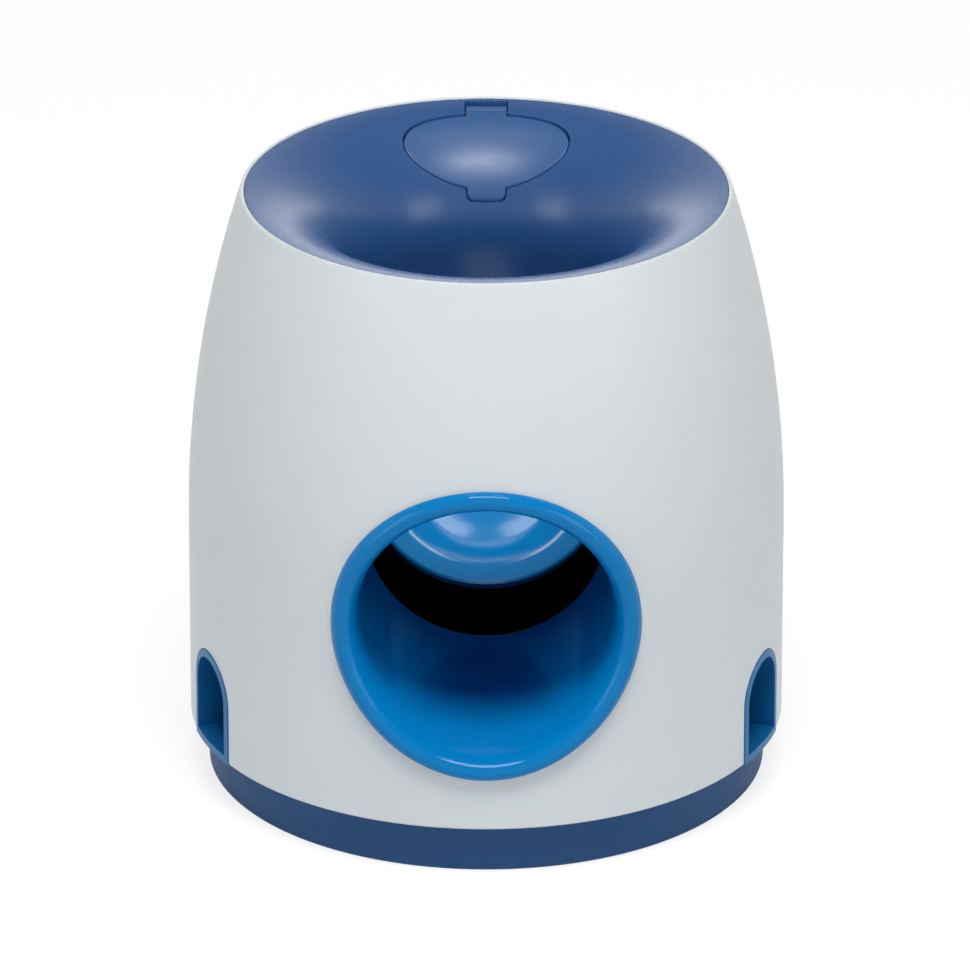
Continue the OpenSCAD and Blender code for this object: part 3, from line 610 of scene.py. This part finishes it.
@dataclass
class FillerFlap:
    """The flap over the treat hopper: a leaf of the trumpet with a thumb tab, a tongue and a knuckle."""

    trumpet: Trumpet
    hinge: Point
    half_width: float = 24.0 * MM
    half_length: float = 12.2 * MM
    middle: float = 14.98 * MM
    slope: float = math.radians(35.2)
    plan_middle: float = 16.7776 * MM
    plan_rise: float = 12.8776 * MM
    upper_grow: float = 0.2 * MM
    tab_half: float = 5.6 * MM
    tab_reach: float = 30.08 * MM
    tab_corner: float = 2.0 * MM
    tongue_half: float = 6.0 * MM
    tongue_gap: float = 1.2 * MM
    sink: float = 0.3 * MM
    thick: float = 1.4 * MM
    top_edge: float = 0.45 * MM
    low_edge: float = 0.3 * MM
    knuckle: float = 2.2 * MM
    knuckle_round: float = 0.3 * MM
    pin_bore: float = 1.05 * MM
    bore_round: float = 0.15 * MM
    last_turn: float = 0.02
    first_ring: float = 0.06
    rings: int = 18
    arc_steps: int = 60
    side_steps: int = 8
    edge_steps: int = 8
    corner_steps: int = 12
    newton_steps: int = 12
    round_steps: int = 5
    knuckle_turns: int = 48

    def lower_outline(self, inset: float) -> np.ndarray:
        """Plan of the lower half, from the widest line to the middle of the thumb tab.

        The outline is half an ellipse and a tab in the plane of the flap's chord, and its sides run
        square to that plane. Each point slides along that direction until it meets the trumpet's surface
        at the given depth, by Newton's steps on the distance from the section circle.

        Args:
            inset: depth under the trumpet's surface.

        Returns:
            Array of shape (points, 2).
        """
        low = math.acos(self.tab_half / self.half_width)
        t = np.linspace(0, low, self.arc_steps)
        ellipse = np.stack([self.half_width * np.cos(t),
                            -self.half_length * np.sin(t) - self.middle], axis=-1)
        corner = arc(0, 90, self.corner_steps)
        tip = self.tab_reach - self.tab_corner
        rounding = np.stack([self.tab_half - self.tab_corner * (1 - np.cos(corner)),
                             -tip - self.tab_corner * np.sin(corner)], axis=-1)
        side = line(tuple(ellipse[-1]), tuple(rounding[0]), self.side_steps)[1:-1]
        foot = line(tuple(rounding[-1]), (0.0, -self.tab_reach), self.side_steps)[1:]
        u, v = np.vstack([ellipse, side, rounding, foot]).T
        w = np.zeros_like(u)
        cos, sin = math.cos(self.slope), math.sin(self.slope)
        for _ in range(self.newton_steps):
            y = self.hinge[1] + v * cos - w * sin
            z = self.hinge[2] + v * sin + w * cos
            r = np.hypot(u, y)
            reach = np.hypot(self.trumpet.ring - r, z - self.trumpet.height)
            rate = ((self.trumpet.ring - r) * sin * y / r + (z - self.trumpet.height) * cos) / reach
            w -= (reach - (self.trumpet.bend - inset)) / rate
        return np.stack([u, self.hinge[1] + v * cos - w * sin], axis=-1)

    def upper_outline(self) -> np.ndarray:
        """Plan of the upper half, from the tongue's end to the widest line: a tongue on half an ellipse.

        Returns:
            Array of shape (points, 2).
        """
        base = self.hinge[1] - self.plan_middle
        start = math.acos(self.tongue_half / self.half_width)
        t = np.linspace(start, self.last_turn, self.arc_steps)
        wide, rise = self.half_width + self.upper_grow * np.sin(t), self.plan_rise + self.upper_grow
        ellipse = np.stack([wide * np.cos(t), base + rise * np.sin(t)], axis=-1)
        end = self.hinge[1] - self.tongue_gap
        top = line((0.0, end), (self.tongue_half, end), self.side_steps)[:-1]
        side = line((self.tongue_half, end), tuple(ellipse[0]), self.side_steps)[:-1]
        return np.vstack([top, side, ellipse])

    def outline(self, inset: float) -> np.ndarray:
        """Whole plan outline at a depth: the right half, then its mirror image back to the start.

        Args:
            inset: depth under the trumpet's surface.

        Returns:
            Array of shape (points, 2), a closed ring without a repeated point.
        """
        right = np.vstack([self.upper_outline(), self.lower_outline(inset)])
        return np.vstack([right, (right * np.array([-1.0, 1.0]))[-2:0:-1]])

    def leaf(self, surfaces: Surfaces) -> None:
        """Add the leaf: rings that shrink to the middle on both faces, with rounded edges between them.

        A ring is the outline at its depth, moved in square to the outline, and its heights are the
        trumpet's at that depth.

        Args:
            surfaces: where the leaf's faces go.
        """
        upper, lower = self.outline(self.sink), self.outline(self.sink + self.thick)
        along = np.roll(upper, -1, axis=0) - np.roll(upper, 1, axis=0)
        inward = np.stack([-along[:, 1], along[:, 0]], axis=-1)
        inward /= np.linalg.norm(inward, axis=1, keepdims=True)
        middle = np.array([0.0, self.hinge[1] - self.plan_middle])
        inward *= np.sign(np.sum(inward * (middle - upper), axis=1).mean())
        turn = arc(0, 90, self.edge_steps)
        depth = np.concatenate([self.top_edge * (1 - np.cos(turn)),
                                self.thick - self.low_edge * (1 - np.sin(turn))]) + self.sink
        shift = np.concatenate([self.top_edge * (1 - np.sin(turn)), self.low_edge * (1 - np.cos(turn))])
        share = ((depth - self.sink) / self.thick)[:, None, None]
        edge = upper + (lower - upper) * share + inward * shift[:, None, None]
        scale = np.linspace(self.first_ring, 1.0, self.rings)[:-1, None, None]
        top = middle + (edge[0] - middle) * scale
        bottom = middle + (edge[-1] - middle) * scale[::-1]
        plan = np.concatenate([top, edge, bottom])
        depths = np.concatenate([np.full(len(top), depth[0]), depth, np.full(len(bottom), depth[-1])])
        rings = np.dstack([plan, self.trumpet.height_at(plan[..., 0], plan[..., 1], depths[:, None])])
        surfaces.grid(rings, wrap_v=True, flip=True)
        for ring, inset, flip in ((rings[0], depth[0], True), (rings[-1], depth[-1], False)):
            level = self.trumpet.height_at(middle[0], middle[1], inset)
            surfaces.fan(ring, np.array([middle[0], middle[1], level]), flip=flip)

    def barrel_of_hinge(self, surfaces: Surfaces) -> None:
        """Add the knuckle: a rounded rectangle of wall, turned round the pin's axis.

        Args:
            surfaces: where the knuckle's faces go.
        """
        half = self.tongue_half
        corners = np.array([[-half, self.pin_bore], [half, self.pin_bore], [half, self.knuckle],
                            [-half, self.knuckle]])
        radius = np.repeat([self.bore_round, self.knuckle_round], 2)
        along, reach = rounded(corners, radius, self.round_steps).T
        turn = np.linspace(0, 2 * math.pi, self.knuckle_turns, endpoint=False)[:, None]
        x = np.broadcast_to(along, (len(turn), len(along)))
        y = self.hinge[1] + reach * np.cos(turn)
        z = self.hinge[2] + reach * np.sin(turn)
        surfaces.grid(np.stack([x, y, z], axis=-1), wrap_u=True, wrap_v=True, flip=True)

    def build(self) -> bpy.types.Object:
        """Make the leaf and its knuckle.

        Returns:
            The flap's object.
        """
        surfaces = Surfaces()
        self.leaf(surfaces)
        self.barrel_of_hinge(surfaces)
        return surfaces.make("filler_flap_moulding", sharp=35.0)

    def dress(self, piece: bpy.types.Object, material: bpy.types.Material, slot: str) -> None:
        """Finish the flap and hang it on its own body in place of its CAD node.

        Args:
            piece: the flap's object.
            material: its finish.
            slot: the material slot of its CAD node; not used.
        """
        put_material(piece, material)
        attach(piece, "flap")
        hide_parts("filler_flap")


@dataclass
class TreatChute:
    """The horseshoe ramp that splits the treats to both outlets."""

    shaft: Point
    shaft_gap: float = 5.8 * MM
    outer: float = 81.3 * MM
    wall: float = 2.0 * MM
    foot: float = 4.1 * MM
    ridge: float = 56.0 * MM
    end: float = 19.2 * MM
    lip: float = 4.0 * MM
    rail: float = 12.0 * MM
    soft: float = 12.0
    reach: float = 106.0
    outlet_turn: float = 22.0
    outlet_gap: float = 13.0 * MM
    steps: int = 181
    round_steps: int = 5

    def floor_at(self, angle: np.ndarray) -> np.ndarray:
        """Height of the floor at an angle in degrees from the back: a rounded ridge between slopes."""
        span = math.hypot(self.reach, self.soft) - self.soft
        return self.ridge - (self.ridge - self.end) * (np.hypot(angle, self.soft) - self.soft) / span

    def section(self) -> np.ndarray:
        """Section as [distance from the toy's axis, height, share of the floor's height], corners rounded.

        Returns:
            Array of shape (points, 3), round the section.
        """
        a, b, w = self.shaft[1] + self.shaft_gap, self.outer, self.wall
        corners = np.array([
            [a, self.foot, 0], [a + w, self.foot, 0], [a + w, -w, 1], [b, -w, 1], [b, self.lip, 1],
            [b - w, self.lip, 1], [b - w, 0, 1], [a + w, 0, 1], [a + w, self.rail, 1], [a, self.rail, 1]])
        radius = np.array([0.2, 0.2, 0.8, 0.8, 0.6, 0.6, 1.2, 1.2, 0.6, 0.6]) * MM
        keep = corners[:, 2].copy()
        level = corners.copy()
        level[:, 1] += keep * self.ridge
        curve = rounded(level, radius, self.round_steps)
        curve[:, 2] = np.repeat(keep, self.round_steps)
        curve[:, 1] -= curve[:, 2] * self.ridge
        return curve

    def build(self) -> bpy.types.Object:
        """Make the ramp: the section turned round the toy's axis up to the flat ends beside the outlets.

        At a distance from the axis the ramp ends where it is one gap behind the outlet's middle plane, so
        each point's angle is its share of that end angle.

        Returns:
            The chute's object.
        """
        reach, height, follows = self.section().T
        last = self.outlet_turn + np.degrees(np.arccos(self.outlet_gap / reach))
        angle = np.linspace(-1, 1, self.steps)[:, None] * last
        z = height + follows * self.floor_at(angle)
        x, y = reach * np.sin(np.radians(angle)), reach * np.cos(np.radians(angle))
        rings = np.stack([x, y, z], axis=-1)
        surfaces = Surfaces()
        surfaces.grid(rings, wrap_v=True, flip=True)
        surfaces.cap(rings[0], flip=True)
        surfaces.cap(rings[-1])
        return surfaces.make("treat_chute_moulding", sharp=35.0)

    def dress(self, piece: bpy.types.Object, material: bpy.types.Material, slot: str) -> None:
        """Finish the chute and set it in the housing in place of its CAD node.

        Args:
            piece: the chute's object.
            material: its finish.
            slot: the material slot of its CAD node; not used.
        """
        put_material(piece, material)
        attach(piece, "housing")
        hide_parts("treat_chute")


@dataclass
class ReturnSpring:
    """The torsion spring on the shaft's left end, as round wire."""

    pivot: Point
    tilt: float = math.radians(34.0)
    start: float = -32.45 * MM
    pitch: float = 1.35 * MM
    coil: float = 3.55 * MM
    wire: float = 0.45 * MM
    turns: int = 4
    leg: float = 12.0 * MM
    dish_drop: float = 4.70 * MM
    first_angle: float = 270.0
    sides: int = 12
    leg_steps: int = 12
    turn_steps: int = 40

    def path(self) -> np.ndarray:
        """Centre line: a straight leg under the bracket's peg, a helix round the shaft, a leg under the dish.

        Returns:
            Array of shape (points, 3) in the toy's frame.
        """
        s = np.linspace(0, 1, self.leg_steps)[:-1, None]
        turned = np.linspace(0, 360 * self.turns, self.turn_steps * self.turns + 1)
        angle = np.radians(self.first_angle - turned)
        travel = self.pitch * (angle[0] - angle) / (2 * math.pi)
        helix = np.stack([self.start + travel, self.coil * np.cos(angle), self.coil * np.sin(angle)], axis=-1)
        first = np.array([self.start, self.leg, -self.coil])
        last = np.array([helix[-1, 0], -self.leg, -self.dish_drop])
        lead = first + (helix[0] - first) * s
        tail = helix[-1] + (last - helix[-1]) * (1 - s[::-1])
        return tilted(np.vstack([lead, helix, tail]), self.tilt, self.pivot)

    def build(self) -> bpy.types.Object:
        """Make the wire as rings along its path with closed ends.

        Returns:
            The spring's object.
        """
        path = self.path()
        rings = swept_tube(path, self.wire, self.sides)
        surfaces = Surfaces()
        surfaces.grid(rings, wrap_v=True, flip=True)
        surfaces.fan(rings[0], path[0], flip=True)
        surfaces.fan(rings[-1], path[-1])
        return surfaces.make("return_spring_wire")

    def dress(self, piece: bpy.types.Object, material: bpy.types.Material) -> None:
        """Finish the spring in place of its CAD node.

        Args:
            piece: the spring's object.
            material: its finish.
        """
        put_material(piece, material)
        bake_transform(piece)
        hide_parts("return_spring")


@dataclass
class Funnel:
    """The trumpet on top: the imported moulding, merged and shaded as the turned surface that it is."""

    moulding: bpy.types.Object
    trumpet: Trumpet
    throat: float = 37.5 * MM
    near: float = 0.02 * MM
    level: float = 0.95

    def build(self) -> bpy.types.Object:
        """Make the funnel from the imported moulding's own triangles.

        Returns:
            The funnel's object.
        """
        surfaces = Surfaces()
        surfaces.facets(self.moulding)
        piece = surfaces.make("funnel_moulding", sharp=28.0)
        self.turn_normals(piece.data)
        return piece

    def turn_normals(self, mesh: bpy.types.Mesh) -> None:
        """Give the corners of faces on the trumpet and the throat the normals of those turned surfaces.

        On the trumpet a normal points away from the section circle's middle, in the throat to the axis.

        Args:
            mesh: the funnel's mesh, of triangles.
        """
        points, index = np.empty(len(mesh.vertices) * 3), np.empty(len(mesh.loops), dtype=np.int32)
        flat, corner = np.empty(len(mesh.polygons) * 3), np.empty(len(mesh.loops) * 3)
        mesh.vertices.foreach_get("co", points)
        mesh.loops.foreach_get("vertex_index", index)
        mesh.polygons.foreach_get("normal", flat)
        mesh.corner_normals.foreach_get("vector", corner)
        x, y, z = points.reshape(-1, 3).T
        r = np.hypot(x, y)
        out, up = r - self.trumpet.ring, z - self.trumpet.height
        reach = np.hypot(out, up)
        bell = (np.abs(reach - self.trumpet.bend) < self.near) & (up >= -self.near)
        neck = (np.abs(r - self.throat) < self.near) & (up < 0)
        radial, rise = np.where(bell, out / reach, -1.0), np.where(bell, up / reach, 0.0)
        turned = np.stack([radial * x / r, radial * y / r, rise], axis=-1)[index].reshape(-1, 3, 3)
        alike = (turned * flat.reshape(-1, 1, 3)).sum(axis=2).min(axis=1) > self.level
        known = (bell | neck)[index].reshape(-1, 3).all(axis=1) & alike
        corner = np.where(known[:, None, None], turned, corner.reshape(-1, 3, 3))
        mesh.normals_split_custom_set(corner.reshape(-1, 3).tolist())
        LOG.info("turned normals on %d of %d funnel faces", int(known.sum()), len(known))

    def dress(self, piece: bpy.types.Object, material: bpy.types.Material, slot: str) -> None:
        """Finish the funnel and set it in the housing in place of its CAD node.

        Args:
            piece: the funnel's object.
            material: its finish.
            slot: the material slot of its CAD node; not used.
        """
        put_material(piece, material)
        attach(piece, "housing")
        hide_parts("funnel")


@dataclass
class TriggerDish:
    """The dish that the ball lands on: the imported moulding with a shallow, rolled pan in its bowl."""

    moulding: bpy.types.Object
    pivot: Point
    tilt: float = math.radians(34.0)
    pivot_back: float = 20.0 * MM
    rim: float = 33.85 * MM
    chord: float = 15.4 * MM
    roll_inner: float = 18.0 * MM
    roll_outer: float = 30.8 * MM
    pan_depth: float = 4.0 * MM
    pan_ball: float = 155.0 * MM
    bowl_rim: float = 30.5 * MM
    bowl_depth: float = 4.0 * MM
    bowl_step: float = 1.0 * MM
    skin: float = 0.03 * MM
    edge: float = 0.05 * MM
    root: float = 0.6 * MM
    first_ring: float = 0.01
    rows: int = 110
    turns: int = 240
    edge_steps: int = 6

    def pan_at(self, r: np.ndarray) -> np.ndarray:
        """Height of the pan over the rim's plane at a distance from the dish's middle.

        Args:
            r: distances from the middle.

        Returns:
            Heights: a shallow ball's surface that rises through a smooth S curve to the rim.
        """
        share = np.clip((r - self.roll_inner) / (self.roll_outer - self.roll_inner), 0.0, 1.0)
        rise = share ** 3 * (share * (6 * share - 15) + 10)
        return (r ** 2 / (2 * self.pan_ball) - self.pan_depth) * (1 - rise) + self.skin

    def root_at(self, r: np.ndarray) -> np.ndarray:
        """Height of the pan's root inside the bowl's wall and the rim.

        Args:
            r: distances from the middle.

        Returns:
            Heights over the rim's plane, all below the CAD surface.
        """
        ball = (self.bowl_rim ** 2 + self.bowl_depth ** 2) / (2 * self.bowl_depth)
        bowl = ball - self.bowl_depth - self.bowl_step - np.sqrt(ball ** 2 - r ** 2)
        return np.minimum(bowl, 0.0) - self.root

    def pan(self, surfaces: Surfaces) -> None:
        """Add the pan: rings from the middle to the rim, over a rounded edge and back along the root.

        The outline is a circle cut by a straight rear edge, and each ring is a share of it.

        Args:
            surfaces: where the pan's faces go.
        """
        turn = np.linspace(0, 2 * math.pi, self.turns, endpoint=False)[None, :]
        reach = self.rim / np.maximum(1.0, self.rim * np.cos(turn) / self.chord)
        share = np.linspace(self.first_ring, 1.0, self.rows)[:, None]
        bend = arc(0, 90, self.edge_steps)[1:, None]
        flat = share * (reach - self.edge)
        over = reach - self.edge + self.edge * np.sin(bend)
        fall = self.pan_at(flat[-1:]) - self.edge * (1 - np.cos(bend))
        r = np.concatenate([flat, over, share[::-1] * reach])
        z = np.concatenate([self.pan_at(flat), fall, self.root_at(share[::-1] * reach)])
        flat_rings = np.stack([r * np.sin(turn), r * np.cos(turn) - self.pivot_back, z], axis=-1)
        rings = tilted(flat_rings, self.tilt, self.pivot)
        surfaces.grid(rings, wrap_v=True, flip=True)
        ends = np.array([[0.0, -self.pivot_back, float(self.pan_at(np.zeros(1))[0])],
                         [0.0, -self.pivot_back, float(self.root_at(np.zeros(1))[0])]])
        top, root = tilted(ends, self.tilt, self.pivot)
        surfaces.fan(rings[0], top, flip=True)
        surfaces.fan(rings[-1], root)

    def build(self) -> bpy.types.Object:
        """Make the dish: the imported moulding's own triangles, merged, and the pan.

        Returns:
            The dish's object.
        """
        surfaces = Surfaces()
        surfaces.facets(self.moulding)
        self.pan(surfaces)
        return surfaces.make("trigger_dish_moulding", sharp=30.0)

    def dress(self, piece: bpy.types.Object, material: bpy.types.Material, slot: str) -> None:
        """Finish the dish and hang it on the trigger in place of its CAD node.

        Args:
            piece: the dish's object.
            material: its finish.
            slot: the material slot of its CAD node; not used.
        """
        put_material(piece, material)
        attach(piece, "trigger")
        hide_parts("trigger_dish")


@dataclass(frozen=True)
class Lamp:
    """A soft box: its place, width and height, power in watts, what it gives and the point it faces."""

    name: str
    place: Point
    size: tuple[float, float]
    power: float
    throw: Throw = Throw.BOTH
    aim: Point = (0.0, 0.0, 0.09)
    colour: Colour = (1.0, 0.995, 0.985)

    def hang(self) -> None:
        """Add the box to the scene, out of the camera's sight."""
        box = bpy.data.lights.new(self.name, "AREA")
        box.shape = "RECTANGLE"
        box.size, box.size_y = self.size
        box.energy, box.color = self.power, self.colour
        hung = bpy.data.objects.new(self.name, box)
        hung.location = self.place
        hung.rotation_euler = (Vector(self.aim) - Vector(self.place)).to_track_quat("-Z", "Y").to_euler()
        hung.visible_camera = False
        hung.visible_diffuse, hung.visible_glossy = self.throw.value
        bpy.context.scene.collection.objects.link(hung)


@dataclass
class Studio:
    """Floor, lights and camera: a box overhead, fills at the sides and behind, cards behind and on top."""

    elevation: float = math.radians(24.0)
    distance: float = 3.053
    target: Vector = field(default_factory=lambda: Vector((0.0, 0.0, 0.0888)))
    focal_px: float = 10518.6
    frame_px: tuple[int, int] = (970, 971)
    target_px: tuple[float, float] = (486.3, 472.2)
    floor_half: float = 4.0
    floor_drop: float = 0.2 * MM
    lamps: tuple[Lamp, ...] = (
        Lamp("overhead_box", (0.05, -0.64, 1.71), (0.85, 0.5), 22.0),
        Lamp("left_fill", (-1.5, -1.0, 0.60), (0.8, 1.0), 6.4),
        Lamp("right_fill", (1.45, -1.1, 0.60), (0.8, 1.0), 7.0),
        Lamp("back_card", (0.0, 2.4, 0.62), (3.2, 0.60), 5.2, Throw.IMAGE, (0.0, 0.0, 0.17)),
        Lamp("back_fill", (0.0, 2.2, 0.35), (1.6, 0.5), 16.0, Throw.LIGHT),
        Lamp("top_card", (-0.21, 0.25, 1.7), (0.24, 0.20), 1.0, Throw.IMAGE),
        Lamp("top_card", (0.21, 0.25, 1.7), (0.24, 0.20), 1.0, Throw.IMAGE),
    )

    def camera(self) -> None:
        """Stand the camera at the photograph's angle, with the target on its pixel."""
        back = Vector((0.0, -math.cos(self.elevation), math.sin(self.elevation)))
        up = Vector((0.0, math.sin(self.elevation), math.cos(self.elevation)))
        scale = self.distance / self.focal_px
        aside = (self.target_px[0] - self.frame_px[0] / 2) * scale
        above = (self.frame_px[1] / 2 - self.target_px[1]) * scale
        lens = bpy.data.cameras.new("camera")
        lens.sensor_fit = "HORIZONTAL"
        lens.sensor_width = 36.0
        lens.lens = self.focal_px * lens.sensor_width / self.frame_px[0]
        lens.clip_start, lens.clip_end = 0.1, 50.0
        stand = bpy.data.objects.new("camera", lens)
        stand.location = self.target + back * self.distance
        aim = self.target - Vector((aside, 0.0, 0.0)) - up * above
        stand.rotation_euler = (aim - stand.location).to_track_quat("-Z", "Y").to_euler()
        bpy.context.scene.collection.objects.link(stand)
        bpy.context.scene.camera = stand

    def world(self) -> None:
        """Pale surroundings: dim as a light; white where seen or mirrored, and greyer high overhead."""
        made = bpy.data.worlds.new("surroundings")
        made.use_nodes = True
        nodes = NodeTree(made.node_tree)
        seen = self._seen(nodes)
        way = nodes.add("SeparateXYZ", {0: nodes.add("TexCoord").outputs["Generated"]})
        level = nodes.add("MapRange", {
            "Value": way.outputs["Z"], "From Min": 0.3, "From Max": 0.7, "To Min": 1.0, "To Max": 0.35})
        light = nodes.add("Background", {"Color": (0.93, 0.97, 1.0, 1.0), "Strength": 0.08})
        white = nodes.add("Background", {"Color": (1.0, 1.0, 1.0, 1.0), "Strength": level.outputs["Result"]})
        mix = nodes.add("MixShader", {0: seen, 1: light.outputs[0], 2: white.outputs[0]})
        nodes.add("OutputWorld", {"Surface": mix.outputs[0]})
        bpy.context.scene.world = made

    def floor(self) -> None:
        """A wide pale floor that shows white and keeps a soft shadow."""
        span = np.linspace(-self.floor_half, self.floor_half, 3)
        x, y = np.meshgrid(span, span, indexing="ij")
        surfaces = Surfaces()
        surfaces.grid(np.stack([x, y, np.full_like(x, -self.floor_drop)], axis=-1))
        ground = surfaces.make("floor")
        made = bpy.data.materials.new("pale_floor")
        made.use_nodes = True
        nodes = NodeTree(made.node_tree)
        seen = self._seen(nodes)
        paper = nodes.add("BsdfDiffuse", {"Color": (0.82, 0.83, 0.84, 1.0)})
        thin = nodes.add("BsdfDiffuse", {"Color": (0.30, 0.30, 0.30, 1.0)})
        glow = nodes.add("Emission", {"Color": (1.0, 1.0, 1.0, 1.0), "Strength": 0.80})
        lit = nodes.add("AddShader", {0: thin.outputs[0], 1: glow.outputs[0]})
        mix = nodes.add("MixShader", {0: seen, 1: paper.outputs[0], 2: lit.outputs[0]})
        nodes.add("OutputMaterial", {"Surface": mix.outputs[0]})
        put_material(ground, made)
        ground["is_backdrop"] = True

    @staticmethod
    def _seen(nodes: NodeTree) -> bpy.types.NodeSocket:
        """One where a ray comes straight from the camera, a mirror or glass, and zero elsewhere.

        Args:
            nodes: the tree that gets the nodes.

        Returns:
            The socket that carries the value.
        """
        path = nodes.add("LightPath")
        either = nodes.add("Math", {
            0: path.outputs["Is Camera Ray"], 1: path.outputs["Is Glossy Ray"]}, operation="MAXIMUM")
        return nodes.add("Math", {
            0: either.outputs[0], 1: path.outputs["Is Transmission Ray"]}, operation="MAXIMUM").outputs[0]

    def set_up(self) -> None:
        """Camera, lights, surroundings and floor, with the plain view transform."""
        bpy.context.scene.view_settings.view_transform = "Standard"
        self.camera()
        for lamp in self.lamps:
            lamp.hang()
        self.world()
        self.floor()


@dataclass
class Housing:
    """The finishes of the toy's mouldings and hardware, by material slot."""

    nodes: dict[str, bpy.types.Object]
    slots: dict[str, str]
    finishes: tuple[tuple[str, Finish], ...] = (
        ("shell_white", MouldedPlastic("cool_white_moulding", (0.745, 0.795, 0.82), Gloss.SATIN)),
        ("funnel_indigo", MouldedPlastic("indigo_moulding", (0.026, 0.098, 0.290), Gloss.SHEEN)),
        ("tube_azure", MouldedPlastic("azure_tube", (0.0008, 0.212, 0.555), Gloss.GLOSS)),
        # the dish's azure is the tube's azure made about a fifth lighter: painted light for the light that
        # the dish lacks inside the toy
        ("dish_azure", MouldedPlastic("azure_dish", (0.002, 0.270, 0.680), Gloss.POLISH)),
        ("outlet_azure", MouldedPlastic("azure_outlet", (0.006, 0.150, 0.400), Gloss.SATIN, edge=0.25 * MM)),
        ("base_slate", MouldedPlastic("slate_moulding", (0.022, 0.084, 0.225), Gloss.MATT, edge=0.2 * MM)),
        # black for the parts inside the shell, partly their guessed colour and partly painted shade, so that
        # the deep shade inside the port shows black
        ("inner_black", MouldedPlastic("black_moulding", (0.02, 0.02, 0.021), Gloss.MATT)),
        ("hopper_grey", MouldedPlastic("grey_moulding", (0.19, 0.22, 0.27), Gloss.MATT)),
        ("shutter_white", MouldedPlastic("pale_moulding", (0.66, 0.69, 0.71), Gloss.MATT)),
        ("bush_natural", MouldedPlastic("natural_acetal", (0.72, 0.68, 0.57), Gloss.SATIN)),
        ("zinc_steel", PlatedSteel("zinc_plate", (0.62, 0.63, 0.65))),
        ("spring_steel", PlatedSteel("drawn_wire", (0.45, 0.46, 0.48), 0.28)),
    )
    own: tuple[tuple[str, Finish], ...] = (
        # the flap's indigo is the funnel's indigo made a little lighter: a painted highlight for the broad
        # highlight on the flap; its softer gloss is its own
        ("filler_flap", MouldedPlastic("indigo_flap", (0.030, 0.108, 0.305), Gloss.SOFT)),
        ("flap_hinge_pin", PlatedSteel("burnished_pin", (0.05, 0.06, 0.08), 0.5)),
    )

    def materials(self) -> dict[str, bpy.types.Material]:
        """Make each finish once.

        Returns:
            Node to material: the node's own finish, or else that of its material slot.
        """
        by_slot = {slot: finish.material() for slot, finish in self.finishes}
        by_node = {name: by_slot[self.slots[name]] for name in self.nodes}
        return by_node | {name: finish.material() for name, finish in self.own}

    def dress(self, materials: dict[str, bpy.types.Material]) -> None:
        """Give every CAD node its material.

        Args:
            materials: node to material.
        """
        for name, node in self.nodes.items():
            put_material(node, materials[name])
            LOG.info("dressed %s with %s", name, materials[name].name)


def corners() -> list[list[float]]:
    """The shown object's lowest and highest corner as plain numbers."""
    return [list(map(float, corner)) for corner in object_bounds()]


def main() -> None:
    """Load the frame, dress it, add the finer pieces and set up the studio."""
    logging.basicConfig(level=logging.INFO, format="%(name)s: %(message)s")
    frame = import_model()
    Studio().set_up()
    slots = {row["node"]: row["material_slot"] for row in frame["record"]["subparts"]}
    pivots = {joint["name"]: tuple(joint["pos_m"]) for joint in frame["joints"]}
    housing = Housing(frame["nodes"], slots)
    materials = housing.materials()
    housing.dress(materials)
    tube = PortTube(Barrel())
    tube.dress(tube.build(), materials["ball_tube"])
    LOG.info("built the ball tube")
    trumpet = Trumpet()
    flap = FillerFlap(trumpet, pivots["flap_hinge"])
    flap.dress(flap.build(), materials["filler_flap"], slots["filler_flap"])
    LOG.info("built the filler flap")
    chute = TreatChute(pivots["trigger_hinge"])
    chute.dress(chute.build(), materials["treat_chute"], slots["treat_chute"])
    LOG.info("built the treat chute")
    spring = ReturnSpring(pivots["trigger_hinge"])
    spring.dress(spring.build(), materials["return_spring"])
    LOG.info("built the return spring")
    funnel = Funnel(frame["nodes"]["funnel"], trumpet)
    funnel.dress(funnel.build(), materials["funnel"], slots["funnel"])
    LOG.info("built the funnel")
    dish = TriggerDish(frame["nodes"]["trigger_dish"], pivots["trigger_hinge"])
    dish.dress(dish.build(), materials["trigger_dish"], slots["trigger_dish"])
    LOG.info("built the trigger dish")


if __name__ == "__main__":
    main()
